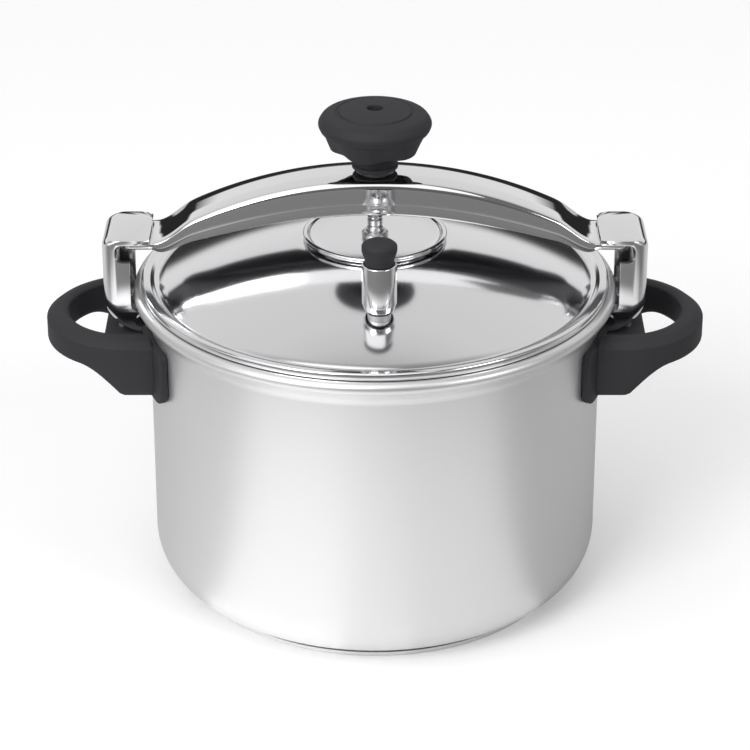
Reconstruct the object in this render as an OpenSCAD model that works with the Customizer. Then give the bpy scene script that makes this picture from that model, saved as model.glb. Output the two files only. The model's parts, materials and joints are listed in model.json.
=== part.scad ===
// Bow-type pressure cooker: a deep pot, a domed lid and a screw-down bridge held by two hooks.
// Millimetres, +Z up. The origin is the centre of the base's underside, and the hooks and
// handles lie along X.

/* [Pot] */
// Outside diameter of the pot's wall
pot_d = 240; // [230:1:250]
// Height of the rim bead's centre above the surface that the pot stands on
rim_z = 169; // [150:1:190]
// Thickness of the pot's wall
wall = 1; // [0.8:0.1:1.4]
// Radius of the bottom corner
corner_r = 28; // [22:1:32]
// Diameter of the heat-spreading base
base_d = 203; // [190:1:206]
// Thickness of the heat-spreading base
base_h = 2.6; // [2.2:0.1:3.4]

/* [Lid] */
// Thickness of the lid's sheet
lid_t = 1.2; // [1:0.1:1.4]
// Height of the dome's apex above its trough
dome_h = 25.2; // [24.6:0.1:26]
// Diameter of the pressure dish
dish_d = 76; // [70:1:78]
// Distance of the two valves from the lid's centre
valve_out = 78; // [76:1:80]

/* [Bridge and screw] */
// Width of the bridge
bridge_w = 34; // [32:1:36]
// Height of the bridge's middle above its tongues
bridge_rise = 33.3; // [31:0.1:34]
// Depth of the bridge's flanges at the middle
flange_h = 16.5; // [14:0.5:17]
// Diameter of the spindle
spindle_d = 8; // [7:0.5:8]
// Pitch of the spindle's thread
pitch = 2; // [1.5:0.5:2]
// Diameter of the knob
knob_d = 59; // [54:1:62]

/* [Handles and hooks] */
// Half the width of a handle
handle_r = 46; // [44:1:48]
// Thickness of a handle's loop, seen from above
loop_w = 12; // [11:1:13]
// Half the width of a hook
hook_hw = 20; // [19:0.5:21]
// Thickness of a hook's steel
hook_t = 2.5; // [2:0.1:2.6]

/* [Hidden] */
$fn = 96;

steel = "gainsboro";
black = [0.09, 0.09, 0.10];

// Gaps: face to face in one body, between bodies, and a running fit.
touch = 0.05;
clear = 0.3;
fit = 0.1;
through = 300;                     // height of a cut that passes the whole object

// Pot and rim
pot_r = pot_d / 2;
bead_r = 3.5;
bead_x = pot_r + 4.4;              // radius of the bead's centre circle
cap_t = 0.8;                       // sheet of the base cap

// Lid, from its rim inwards
lid_r = bead_x - 0.7;              // outer face of the raised rim
lid_low = rim_z + bead_r + clear;  // lowest edge of the rim's outer wall
lid_top = rim_z + 7.6;             // top of the raised rim
ring_in = pot_r - 0.3;             // inner edge of the raised rim
trough_r = pot_r - 4;              // where the dome begins
trough_z = rim_z + 5;
apex_z = trough_z + dome_h;
dome_r = (trough_r * trough_r + dome_h * dome_h) / (2 * dome_h);
flat_r = dish_d / 2 + 2;           // flat middle of the dome

// Pressure dish and the spindle's seat
dish_t = 0.8;
dish_z = dome_z(flat_r) + touch;   // underside of the dish
seat_r = 7;
seat_bore = 4.6;
seat_floor = dish_z + dish_t + 0.6;

// Bridge
tongue_t = 2;
hook_under = rim_z + 31;           // underside of a hook's top plate
tongue_z = hook_under - clear;     // top of the tongues
bow_r = 229;                       // radius of the bridge's top
bow_end = pot_r - 25;              // where the arc ends
ramp_end = pot_r - 7;              // where the straight ramp meets the tongue
tongue_end = pot_r + 15;
bow_z = tongue_z + bridge_rise;    // top of the middle
hem_r = 312;                       // radius of the flanges' lower edge
hem_z = bow_z - flange_h;
nut_r = 10;

// Screw
screw_r = spindle_d / 2;
foot_r = 4.2;
foot_z = seat_floor + touch;
foot_h = 5.7;
neck_r = 2.5;
knob_low = bow_z + 3.6;            // lower end of the knob's stem
knob_z = bow_z + 37;               // top of the knob
stem_r = 11.1;
insert_r = 6;

// Handles and hooks, given for the right side and mirrored for the left
loop_x = pot_r + 9;                // centre of a handle's round outline
loop_top = rim_z - 12;
loop_low = loop_top - 17;          // underside of the loop
block_low = loop_top - 32;         // underside of the block next to the pot
block_top = rim_z - 18.9;          // where the hook's foot rests
saddle_top = block_top + 3;
saddle_in = pot_r + clear;
saddle_out = pot_r + 4.5;
saddle_hw = handle_r + 10;
hook_x = pot_r + 23;               // outer face of the hook
hook_in = pot_r - 2;               // tip of the top plate
hook_open = rim_z + 21;            // upper edge of the side flanges
ear_z = rim_z - 12;                // height of the rivets
ear_x = pot_r + 3.4;
rivet_r = 2;
screw_x = pot_r + 14;
screw_y = 11;

// Operating valve and safety valve
valve = [2.2, -valve_out - 0.6, 0];
safety = [0, valve_out - 3, 0];
valve_z = dome_z(valve_out);       // lid surface under the operating valve
safety_z = dome_z(valve_out - 3);
sleeve_r = 8.85;
sleeve_z = valve_z + 3.2;
sleeve_h = 25;
sleeve_top = sleeve_z + sleeve_h;
nozzle_r = 3.25;
nozzle_z = valve_z + 15.2;
chamber_r = 5;

// Height of the dome's outer face at radius r.
function dome_z(r) = apex_z - dome_r + sqrt(dome_r * dome_r - r * r);

// Points of an arc in the profile plane, from angle a0 to a1.
function arc(x, z, r, a0, a1, n = 8) =
    [for (i = [0:n]) let (a = a0 + (a1 - a0) * i / n) [x + r * cos(a), z + r * sin(a)]];

// Top of the bridge at distance x from the middle, within the arc.
function bow(x) = bow_z - bow_r + sqrt(bow_r * bow_r - x * x);
function hem(x) = hem_z - hem_r + sqrt(hem_r * hem_r - x * x);

module revolve(points) {
    rotate_extrude() polygon(points);
}

// Solid under the dome's outer face, lowered by t.
module under_dome(t = 0) {
    translate([0, 0, apex_z - dome_r]) sphere(r = dome_r - t, $fn = 180);
}

module ring(r_out, r_in, z0, z1) {
    translate([0, 0, z0]) difference() {
        cylinder(r = r_out, h = z1 - z0);
        translate([0, 0, -1]) cylinder(r = r_in, h = z1 - z0 + 2);
    }
}

module hex_ring(across, r_in, z0, z1) {
    translate([0, 0, z0]) difference() {
        cylinder(r = across / sqrt(3), h = z1 - z0, $fn = 6);
        translate([0, 0, -1]) cylinder(r = r_in, h = z1 - z0 + 2);
    }
}

// Places a right-hand shape on the left (-1) or the right (1).
module side(s) {
    if (s < 0) mirror([1, 0, 0]) children();
    else children();
}

// Box on the right side, centred on Y.
module slab(x0, x1, hw, z0, z1) {
    translate([x0, -hw, z0]) cube([x1 - x0, 2 * hw, z1 - z0]);
}

// ---- Pot ----

module pot_body() {
    z0 = base_h;
    r_in = pot_r - wall;
    color(steel) union() {
        revolve(concat(
            [[0, z0]],
            arc(pot_r - corner_r, z0 + corner_r, corner_r, -90, 0, 16),
            [[pot_r, rim_z - 7], [bead_x + 0.5, rim_z - bead_r + 0.3], [bead_x - 3, rim_z - 1],
             [r_in, rim_z - 6.5]],
            arc(pot_r - corner_r, z0 + corner_r, corner_r - wall, 0, -90, 16),
            [[0, z0 + wall]]));
        rotate_extrude() translate([bead_x, rim_z]) circle(r = bead_r, $fn = 32);
    }
}

module base_core() {
    color("silver") translate([0, 0, cap_t + touch])
        cylinder(r = base_d / 2 - cap_t - touch, h = base_h - cap_t - 2 * touch);
}

module base_cap() {
    lip = 1.2;
    r = base_d / 2;
    color(steel) revolve(concat(
        [[0, 0], [r - lip, 0]],
        arc(r - lip, lip, lip, -90, 0, 6),
        [[r, base_h], [r - cap_t, base_h], [r - cap_t, cap_t], [0, cap_t]]));
}

// ---- Brackets, hooks, saddles and handles ----

// Two holes for the rivets, along Y through both ears.
module rivet_holes() {
    translate([ear_x, 0, ear_z]) rotate([90, 0, 0])
        cylinder(r = rivet_r, h = 3 * hook_hw, center = true, $fn = 32);
}

module bracket(s) {
    hw = hook_hw - hook_t - touch;
    ear_t = 2.5;
    color(steel) side(s) difference() {
        union() {
            intersection() {
                ring(pot_r + 2, pot_r + touch, ear_z - 16, ear_z + 4.5);
                slab(pot_r / 2, pot_r + 9, hw, 0, rim_z);
            }
            slab(pot_r - 2, pot_r + 7, hw, ear_z - 3.6, ear_z + 4.5);
        }
        cylinder(r = pot_r + touch, h = rim_z);
        slab(pot_r + 2, pot_r + 12, hw - ear_t, ear_z - 10, rim_z);
        rivet_holes();
    }
}

module hook(s) {
    flange_x = pot_r + 8.2;        // inner edge of the side flanges, outside the bead
    ear_in = pot_r + 0.5;
    heel_in = pot_r + 5;
    tip_r = 7;
    heel_z = block_top + touch;
    color(steel) side(s) difference() {
        intersection() {
            slab(hook_in, hook_x, hook_hw, heel_z, hook_under + hook_t);
            union() {
                slab(hook_in + tip_r, hook_x, hook_hw, heel_z, hook_under + hook_t);
                slab(hook_in, hook_x, hook_hw - tip_r, heel_z, hook_under + hook_t);
                for (y = [-1, 1])
                    translate([hook_in + tip_r, y * (hook_hw - tip_r), heel_z])
                        cylinder(r = tip_r, h = 100, $fn = 48);
            }
        }
        // Room between the side flanges, under the top plate.
        slab(hook_in - 1, hook_x - hook_t, hook_hw - hook_t, heel_z + hook_t, hook_under);
        // The sides are open for the tongue.
        slab(hook_in - 1, hook_x - hook_t, hook_hw + 1, hook_open, hook_under);
        // Inner edge of the side flanges, and the ears below the bead.
        slab(hook_in - 1, flange_x, hook_hw + 1, ear_z + 5, hook_under);
        slab(hook_in - 1, ear_in, hook_hw + 1, heel_z - 1, hook_under);
        slab(hook_in - 1, heel_in, hook_hw + 1, heel_z - 1, heel_z + hook_t);
        rivet_holes();
        for (y = [-1, 1]) translate([screw_x, y * screw_y, heel_z - 1]) cylinder(r = 2.05, h = 10, $fn = 32);
    }
}

module saddle(s) {
    color(black) side(s) difference() {
        intersection() {
            ring(saddle_out, saddle_in, block_low - 2, saddle_top);
            slab(pot_r / 2, saddle_out + 1, saddle_hw, 0, rim_z);
        }
        slab(pot_r / 2, saddle_out + 1, hook_hw + touch, ear_z - 17, rim_z);
    }
}

module handle(s) {
    grip_r = handle_r - loop_w;
    color(black) side(s) difference() {
        intersection() {
            union() {
                translate([loop_x, 0, 0]) cylinder(r = handle_r, h = loop_top);
                slab(pot_r - 20, loop_x, handle_r, 0, loop_top);
            }
            translate([0, handle_r + 1, 0]) rotate([90, 0, 0])
                linear_extrude(2 * handle_r + 2) polygon([
                    [pot_r - 20, block_low], [loop_x + 5, block_low], [loop_x + 15, loop_low - 4.5],
                    [loop_x + 25, loop_low], [loop_x + 50, loop_low], [loop_x + 50, loop_top],
                    [pot_r - 20, loop_top]]);
        }
        // Finger hole, a half-round behind the hook.
        intersection() {
            translate([loop_x, 0, 0]) cylinder(r = grip_r, h = rim_z);
            slab(hook_x + touch, hook_x + 40, handle_r, 0, rim_z);
        }
        cylinder(r = saddle_out + touch, h = rim_z);
        // Seat of the hook's foot, with room for the rivets beside it.
        slab(pot_r, hook_x + touch, grip_r - 4, block_top, rim_z);
        for (y = [-1, 1]) translate([screw_x, y * screw_y, 0]) {
            cylinder(r = 2.1, h = rim_z, $fn = 32);
            cylinder(r = 4.2, h = block_low + 3.5, $fn = 32);
        }
    }
}

module handle_screws() {
    color("silver") for (s = [-1, 1], y = [-1, 1])
        side(s) translate([screw_x, y * screw_y, block_low + 0.5]) difference() {
            union() {
                cylinder(r = 4, h = 2.9, $fn = 32);
                cylinder(r = 2, h = block_top + hook_t - block_low, $fn = 32);
            }
            translate([-3, -0.5, -1]) cube([6, 1, 2]);
        }
}

module hook_rivets() {
    color(steel) for (s = [-1, 1], y = [-1, 1])
        side(s) mirror([0, y < 0 ? 1 : 0, 0]) translate([ear_x, hook_hw - 6.5, ear_z]) rotate([-90, 0, 0]) {
            cylinder(r = rivet_r - touch, h = 6.5 + touch, $fn = 32);
            translate([0, 0, 6.5 + touch]) cylinder(r = 3, h = 1.4, $fn = 32);
        }
}

// ---- Lid ----

// Holes for the two valves.
module lid_holes() {
    translate(valve) cylinder(r = 3.1, h = through, $fn = 32);
    translate(safety) cylinder(r = 7.6, h = through, $fn = 48);
}

module lid() {
    steps = 16;
    dome_out = [for (i = [0:steps]) let (r = flat_r + (trough_r - flat_r) * i / steps) [r, dome_z(r)]];
    dome_in = [for (i = [steps:-1:0]) let (r = flat_r + (trough_r - flat_r) * i / steps)
               [r, dome_z(r) - lid_t]];
    color(steel) difference() {
        revolve(concat(
            [[0, dome_z(flat_r)]],
            dome_out,
            [[ring_in, lid_top - 0.4], [ring_in + 0.8, lid_top], [lid_r - 1.2, lid_top],
             [lid_r, lid_top - 1.2], [lid_r, lid_low], [lid_r - lid_t, lid_low],
             [lid_r - lid_t, lid_top - lid_t],
             [ring_in + 0.5, lid_top - lid_t]],
            dome_in,
            [[0, dome_z(flat_r) - lid_t]]));
        lid_holes();
    }
}

module gasket() {
    lip_r = pot_r - 7;
    color([0.25, 0.25, 0.26]) revolve([
        [lip_r, rim_z - 1.5], [lip_r + 2.5, rim_z - 1.5], [pot_r - 0.4, rim_z + 2.8],
        [lid_r - lid_t - clear, rim_z + bead_r + 0.4], [lid_r - lid_t - clear, lid_top - lid_t - clear],
        [pot_r + 0.6, lid_top - lid_t - clear], [trough_r + 1, trough_z - lid_t - 0.5],
        [lip_r, trough_z - lid_t - 0.7]]);
}

module pressure_dish() {
    r = dish_d / 2;
    roll = 1.4;
    color(steel) revolve(concat(
        [[0, dish_z], [r - 4, dish_z], [r - roll, dish_z + 1]],
        arc(r - roll, dish_z + 1 + roll, roll, -90, 150, 10),
        [[r - 5, dish_z + dish_t], [0, dish_z + dish_t]]));
}

module spindle_seat() {
    z0 = dish_z + dish_t + touch;
    color("silver") revolve([
        [0, z0], [seat_r, z0], [seat_r, z0 + 2.2], [seat_r - 1, z0 + 3.2], [seat_bore, z0 + 3.2],
        [seat_bore, seat_floor], [0, seat_floor]]);
}

// ---- Operating valve ----

module vent_stem() {
    collar_r = 6;
    color("silver") difference() {
        union() {
            difference() {
                translate(valve) cylinder(r = collar_r, h = valve_z + 1.4, $fn = 48);
                under_dome(-touch);
            }
            translate([valve[0], valve[1], valve_z - 12]) cylinder(r = 3, h = 13, $fn = 48);
            translate([valve[0], valve[1], valve_z + 1])
                cylinder(r = nozzle_r, h = nozzle_z - valve_z - 1, $fn = 48);
        }
        translate(valve) cylinder(r = 1.4, h = through, $fn = 32);
    }
}

module vent_washer() {
    color([0.25, 0.25, 0.26]) intersection() {
        translate(valve) ring(6.5, 3 + touch, valve_z - 6.5, valve_z);
        under_dome(lid_t + touch);
    }
}

module vent_nut() {
    color("silver") translate(valve) hex_ring(11, 3 + touch, valve_z - 11, valve_z - 6.5 - touch);
}

module valve_needle() {
    z0 = nozzle_z + touch;
    color("silver") translate(valve) revolve([
        [0, z0 - 3], [0.4, z0 - 3], [1.2, z0], [2.4, z0], [2.4, sleeve_top - 4.5], [6.9, sleeve_top - 4.5],
        [6.9, sleeve_top - 2.5], [2.4, sleeve_top - 2.5], [2.4, sleeve_top + 4], [0, sleeve_top + 4]]);
}

module valve_sleeve() {
    r = sleeve_r;
    bore = 7.2;
    top = sleeve_top;
    color(steel) translate(valve) revolve([
        [bore, sleeve_z], [r - 0.8, sleeve_z], [r, sleeve_z + 0.8], [r, top], [2.5, top],
        [2.5, top - 2.2], [bore, top - 2.2]]);
}

module valve_cap() {
    z0 = sleeve_top + touch;
    h = 12.6;
    color(black) translate(valve) revolve([
        [2.9, z0], [7, z0], [7.3, z0 + 2], [9, z0 + 6.2], [9, z0 + 9.4], [8, z0 + 11.4], [4, z0 + h],
        [0, z0 + h], [0, z0 + 5], [2.9, z0 + 5]]);
}

// ---- Safety valve ----

module safety_body() {
    color("silver") difference() {
        union() {
            difference() {
                translate([safety[0], safety[1], safety_z - 6]) cylinder(r = 18 / sqrt(3), h = 9, $fn = 6);
                under_dome(-touch);
            }
            translate([safety[0], safety[1], safety_z - 9]) cylinder(r = 7.5, h = 20, $fn = 48);
        }
        translate(safety) cylinder(r = 2.5, h = through, $fn = 32);
        translate([safety[0], safety[1], safety_z - 3]) cylinder(r = chamber_r, h = 20, $fn = 48);
    }
}

module safety_washer() {
    color([0.25, 0.25, 0.26]) intersection() {
        translate(safety) ring(10, 7.5 + touch, safety_z - 5.2, safety_z);
        under_dome(lid_t + touch);
    }
}

module safety_nut() {
    color("silver") translate(safety) hex_ring(19, 7.5 + touch, safety_z - 9, safety_z - 5.2 - touch);
}

module safety_cap() {
    color("silver") translate(safety) ring(7.5, 1.5 + fit, safety_z + 11 + touch, safety_z + 13);
}

module safety_plunger() {
    z0 = safety_z - 3 + touch;
    color("silver") translate(safety) revolve([
        [0, z0], [chamber_r - fit, z0], [chamber_r - fit, z0 + 2], [1.5, z0 + 2], [1.5, z0 + 17.4],
        [3, z0 + 17.4], [3, z0 + 18.6], [0, z0 + 18.6]]);
}

// Coil spring between the plunger's disc and the cap: a round wire swept along a helix.
module safety_spring() {
    turns = 5;
    steps = 16 * turns;
    sides = 8;
    wire_r = 0.5;
    coil_r = 3.4;
    z0 = safety_z - 1 + touch + wire_r;
    rise = 11 - wire_r - (z0 - safety_z);
    points = [for (i = [0:steps], k = [0:sides - 1])
              let (a = 360 * turns * i / steps, b = 360 * k / sides, r = coil_r + wire_r * cos(b))
              [safety[0] + r * cos(a), safety[1] + r * sin(a), z0 + rise * i / steps + wire_r * sin(b)]];
    walls = [for (i = [0:steps - 1], k = [0:sides - 1]) let (j = (k + 1) % sides)
             [i * sides + k, i * sides + j, (i + 1) * sides + j, (i + 1) * sides + k]];
    ends = [[for (k = [sides - 1:-1:0]) k], [for (k = [0:sides - 1]) steps * sides + k]];
    color("silver") polyhedron(points, concat(walls, ends), convexity = 8);
}

// ---- Bridge and screw ----

// Side outline of the bridge's top plate, or of its whole arch down to the flanges' lower edge.
module bridge_side(t, whole) {
    n = 24;
    top = [for (i = [-n:n]) let (x = bow_end * i / n) [x, bow(x)]];
    low = [for (i = [n:-1:-n]) let (x = bow_end * i / n) [x, whole ? hem(x) : bow(x) - t]];
    polygon(concat(
        [[-tongue_end, tongue_z - t], [-tongue_end, tongue_z], [-ramp_end - 3, tongue_z],
         [-ramp_end + 1, tongue_z + 2]],
        top,
        [[ramp_end - 1, tongue_z + 2], [ramp_end + 3, tongue_z], [tongue_end, tongue_z],
         [tongue_end, tongue_z - t], [ramp_end + 2, tongue_z - t - (whole ? 1 : 0)],
         [ramp_end - 1, whole ? hem(ramp_end) : tongue_z + 2 - t]],
        low,
        [[-ramp_end + 1, whole ? hem(ramp_end) : tongue_z + 2 - t],
         [-ramp_end - 2, tongue_z - t - (whole ? 1 : 0)]]));
}

module bridge() {
    hw = bridge_w / 2;
    tip_r = 8;
    color(steel) difference() {
        union() {
            translate([0, hw, 0]) rotate([90, 0, 0]) linear_extrude(bridge_w) bridge_side(tongue_t, false);
            for (y = [-hw, hw - tongue_t])
                translate([0, y + tongue_t, 0]) rotate([90, 0, 0])
                    linear_extrude(tongue_t) bridge_side(tongue_t, true);
        }
        cylinder(r = nut_r + touch, h = through);
        // Rounded corners of the tongues.
        for (sx = [-1, 1], sy = [-1, 1]) mirror([sx < 0 ? 1 : 0, 0, 0]) mirror([0, sy < 0 ? 1 : 0, 0])
            translate([tongue_end - tip_r, hw - tip_r, 0]) difference() {
                cube([tip_r + 1, tip_r + 1, through]);
                translate([0, 0, -1]) cylinder(r = tip_r, h = through + 2, $fn = 48);
            }
    }
}

module bridge_nut() {
    bore = screw_r + fit;
    z_plate = bow_z - tongue_t;
    color("silver") revolve([
        [bore, z_plate - 12], [12, z_plate - 12], [12, z_plate - 0.6], [nut_r, z_plate - 0.6],
        [nut_r, bow_z + 0.6], [bore, bow_z + 0.6]]);
}

module spindle_foot() {
    color("silver") revolve([
        [0, foot_z], [foot_r - 0.8, foot_z], [foot_r, foot_z + 0.8], [foot_r, foot_z + foot_h - 1],
        [foot_r - 0.6, foot_z + foot_h], [neck_r + fit, foot_z + foot_h], [neck_r + fit, foot_z + 2.7],
        [0, foot_z + 2.7]]);
}

module spindle() {
    z0 = foot_z + foot_h + touch;
    depth = pitch * 0.35;
    turns = floor((bow_z + 2 - z0 - 3) / pitch);
    thread = [for (i = [0:turns - 1]) let (z = z0 + 3 + i * pitch)
              each [[screw_r, z], [screw_r, z + pitch * 0.2], [screw_r - depth, z + pitch * 0.5],
                    [screw_r - depth, z + pitch * 0.6]]];
    top = knob_low + 18;
    color("silver") revolve(concat(
        [[0, foot_z + 2.8], [neck_r, foot_z + 2.8], [neck_r, z0], [screw_r - 0.6, z0], [screw_r, z0 + 0.6]],
        thread,
        [[screw_r, z0 + 3 + turns * pitch], [screw_r, top], [2.1, top], [2.1, top - 10], [0, top - 10]]));
}

module knob() {
    r = knob_d / 2;
    web = knob_low + 20;           // solid floor between the insert and the screw's head
    color(black) revolve(concat(
        [[4.1, knob_z - 0.6], [12, knob_z - 0.7], [21, knob_z - 2.6]],
        arc(r - 4.5, knob_z - 8, 4.5, 70, -10, 6),
        [[r - 1.4, knob_z - 11], [r - 2.4, knob_z - 12], [r - 6.2, knob_z - 22.6], [r - 8, knob_z - 23.6],
         [r - 10, knob_z - 22.4], [stem_r + 3, knob_z - 15.5], [stem_r, knob_z - 16.5],
         [stem_r, knob_low + 2.4], [stem_r + 1, knob_low + 2], [stem_r + 1, knob_low],
         [insert_r + touch, knob_low], [insert_r + touch, web], [2.1, web], [2.1, web + 3], [4.1, web + 3]]));
}

module knob_insert() {
    color("silver") ring(insert_r, screw_r + touch, knob_low + 0.2, knob_low + 20 - touch);
}

module knob_screw() {
    z = knob_low + 23 + touch;
    color("silver") difference() {
        revolve([[0, z - 13], [2, z - 13], [2, z], [3.8, z], [3.8, z + 1.6], [3, z + 2.4], [0, z + 2.4]]);
        for (a = [0, 90]) rotate([0, 0, a]) translate([-2.2, -0.4, z + 1.2]) cube([4.4, 0.8, 2]);
    }
}

pot_body();
base_core();
base_cap();
bracket(-1);  // left_bracket
bracket(1);  // right_bracket
hook(-1);  // left_hook
hook(1);  // right_hook
saddle(-1);  // left_saddle
saddle(1);  // right_saddle
handle(-1);  // left_handle
handle(1);  // right_handle
handle_screws();
hook_rivets();
lid();
gasket();
pressure_dish();
spindle_seat();
vent_stem();
vent_washer();
vent_nut();
safety_body();
safety_washer();
safety_nut();
safety_cap();
safety_spring();
safety_plunger();
valve_needle();
valve_sleeve();
valve_cap();
bridge();
bridge_nut();
spindle_foot();
spindle();
knob();
knob_insert();
knob_screw();
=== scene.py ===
"""Finished surfaces of a bow-type pressure cooker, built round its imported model.

Laid out as an add-on: sizes and finishes are properties, each piece is an operator, and one
panel lists them. Lengths in the code are metres; MM turns millimetres into metres.
"""

import json
import math

import bmesh
import bpy
from bpy.props import FloatProperty, FloatVectorProperty, IntProperty, PointerProperty
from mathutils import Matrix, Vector


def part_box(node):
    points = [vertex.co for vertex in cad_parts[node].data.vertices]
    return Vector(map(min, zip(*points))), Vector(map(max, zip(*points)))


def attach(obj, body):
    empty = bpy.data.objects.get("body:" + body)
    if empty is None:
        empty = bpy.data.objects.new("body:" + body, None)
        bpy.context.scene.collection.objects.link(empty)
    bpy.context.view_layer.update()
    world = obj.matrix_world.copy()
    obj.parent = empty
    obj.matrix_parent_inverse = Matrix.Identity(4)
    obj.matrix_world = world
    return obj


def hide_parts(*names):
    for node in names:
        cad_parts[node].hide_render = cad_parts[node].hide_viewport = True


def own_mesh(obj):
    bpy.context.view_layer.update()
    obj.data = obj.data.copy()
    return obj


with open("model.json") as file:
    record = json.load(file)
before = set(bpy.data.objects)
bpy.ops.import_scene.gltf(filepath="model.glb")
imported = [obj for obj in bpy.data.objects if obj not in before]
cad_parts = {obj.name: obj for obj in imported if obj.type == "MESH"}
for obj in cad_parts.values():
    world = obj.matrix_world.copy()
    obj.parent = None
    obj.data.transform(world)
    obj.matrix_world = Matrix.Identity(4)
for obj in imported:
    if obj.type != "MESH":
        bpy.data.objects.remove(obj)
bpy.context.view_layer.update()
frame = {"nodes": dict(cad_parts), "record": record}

bl_info = {
    "name": "Bridge Lid Pressure Cooker",
    "version": (1, 0, 0),
    "blender": (4, 5, 0),
    "location": "View3D > Sidebar > Cooker",
    "description": "Builds the steel, black moulded and brass pieces of a pressure cooker",
    "category": "Object",
}

MM = 0.001
# Vertices closer than this are one.
TOUCHING = 0.002 * MM
# How far the pot's rolled rim stands outside its wall, in millimetres.
BEAD_REACH = 7.9
# Steps in a full turn of a narrow spun piece.
NARROW_STEPS = 96
# Heights between which a cutting tool passes right through the bridge, in metres.
OVER_THE_POT = (0.15, 0.3)

BOXES = {node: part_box(node) for node in frame["nodes"]}


def low(node):
    """Lowest corner of a frame node."""
    return BOXES[node][0]


def high(node):
    """Highest corner of a frame node."""
    return BOXES[node][1]


# ---------------------------------------------------------------- sizes and finishes

def length(name, text, default):
    """A length in metres."""
    return FloatProperty(name=name, description=text, default=default, unit="LENGTH", precision=4)


def colour(name, text, default):
    """A colour with no alpha."""
    return FloatVectorProperty(
        name=name, description=text, default=default, subtype="COLOR", size=3, min=0, max=1)


class CookerSizes(bpy.types.PropertyGroup):
    """Sizes that the frame doesn't fix."""

    bead: length("Bead radius", "Radius of the rolled rim's cross-section", 3.5 * MM)
    wall: length("Wall", "Thickness of the pot's wall", 1 * MM)
    sheet: length("Lid sheet", "Thickness of the lid's steel", 1.2 * MM)
    corner: length("Corner", "Outer radius of the pot's bottom corner", 28 * MM)
    crown: length("Crown", "How far the bridge's middle line stands above its shoulders", 2.1 * MM)
    steps: IntProperty(name="Steps", description="Steps in a full turn of a spun piece", default=192)
    lobes: IntProperty(name="Lobes", description="Lobes round the knob's skirt", default=5)


class CookerFinishes(bpy.types.PropertyGroup):
    """Colours of the finishes."""

    steel: colour("Steel", "Polished and satin stainless steel", (0.83, 0.83, 0.835))
    turned: colour("Turned steel", "Valve parts, screw and fasteners", (0.72, 0.72, 0.73))
    brass: colour("Brass", "Safety valve", (0.80, 0.62, 0.30))
    black: colour("Black", "Moulded phenolic of the knob and handles", (0.003, 0.003, 0.0032))
    rubber: colour("Rubber", "Gasket and washers", (0.03, 0.03, 0.032))
    floor: colour("Floor", "Studio floor", (0.93, 0.93, 0.93))


class CookerStudio(bpy.types.PropertyGroup):
    """Camera and lights."""

    elevation: FloatProperty(name="Elevation", description="Camera's height above the horizon",
                             default=math.radians(26.34), subtype="ANGLE")
    distance: length("Distance", "From the camera to the middle of the cooker", 1.6)
    target: length("Target height", "Height that the camera looks at", 0.1151)
    lens: FloatProperty(name="Lens", description="Focal length in millimetres", default=142.26)
    floor_glow: FloatProperty(name="Floor glow", description="Light of its own that the floor shows",
                              default=0.12)
    overcast: FloatProperty(name="Overcast", description="Strength of the even light from above",
                            default=1.1)
    daylight: FloatProperty(name="Daylight", description="Brightness of the surroundings", default=0.75)


# ---------------------------------------------------------------- modelling by operators

def leave_edit_mode():
    """Returns to object mode, which select_all and modifiers need."""
    if bpy.context.mode != "OBJECT":
        bpy.ops.object.mode_set(mode="OBJECT")


def begin(name, kind="plane", **options):
    """Adds a primitive at the origin, alone selected and open for editing."""
    leave_edit_mode()
    bpy.ops.object.select_all(action="DESELECT")
    getattr(bpy.ops.mesh, f"primitive_{kind}_add")(enter_editmode=True, **options)
    bpy.ops.mesh.select_mode(type="VERT")
    piece = bpy.context.object
    piece.name = piece.data.name = name
    return piece


def pick(test, kind="VERT"):
    """Selects the vertices, edges or faces whose middle (and normal, for faces) pass a test."""
    bpy.ops.mesh.select_mode(type=kind)
    bpy.ops.mesh.select_all(action="DESELECT")
    mesh = bmesh.from_edit_mesh(bpy.context.object.data)
    if kind == "VERT":
        found = [v for v in mesh.verts if test(v.co)]
    elif kind == "EDGE":
        found = [e for e in mesh.edges if test(e.verts[0].co, e.verts[1].co)]
    else:
        found = [f for f in mesh.faces if test(f.calc_center_median(), f.normal)]
    for item in found:
        item.select_set(True)
    mesh.select_flush_mode()
    bmesh.update_edit_mesh(bpy.context.object.data)


def tidy_mesh():
    """Merges doubles and turns every face outwards."""
    bpy.ops.mesh.select_all(action="SELECT")
    bpy.ops.mesh.remove_doubles(threshold=TOUCHING)
    bpy.ops.mesh.normals_make_consistent(inside=False)


def chain(name, points, closed=False):
    """A line of vertices: one vertex, extruded from point to point."""
    piece = begin(name, size=MM)
    bpy.ops.mesh.merge(type="CENTER")
    bpy.ops.transform.translate(value=points[0])
    route = points + points[:1] if closed else points
    for here, there in zip(route, route[1:]):
        bpy.ops.mesh.extrude_vertices_move(TRANSFORM_OT_translate={"value": Vector(there) - Vector(here)})
    bpy.ops.mesh.select_all(action="SELECT")
    bpy.ops.mesh.remove_doubles(threshold=TOUCHING)
    return piece


def rounded(corners, steps=5):
    """Outline through corners (x, z, radius) in millimetres, each rounded to its radius, in metres."""
    points = []
    for i, (x, z, radius) in enumerate(corners):
        here = Vector((x, z))
        if not radius:
            points.append(here * MM)
            continue
        back = (Vector(corners[i - 1][:2]) - here).normalized()
        on = (Vector(corners[(i + 1) % len(corners)][:2]) - here).normalized()
        half = back.angle(on) / 2
        centre = here + (back + on).normalized() * (radius / math.sin(half))
        reach = radius / math.tan(half)
        first, last = here + back * reach - centre, here + on * reach - centre
        points += [(centre + radius * first.slerp(last, k / steps)) * MM for k in range(steps + 1)]
    return points


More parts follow.
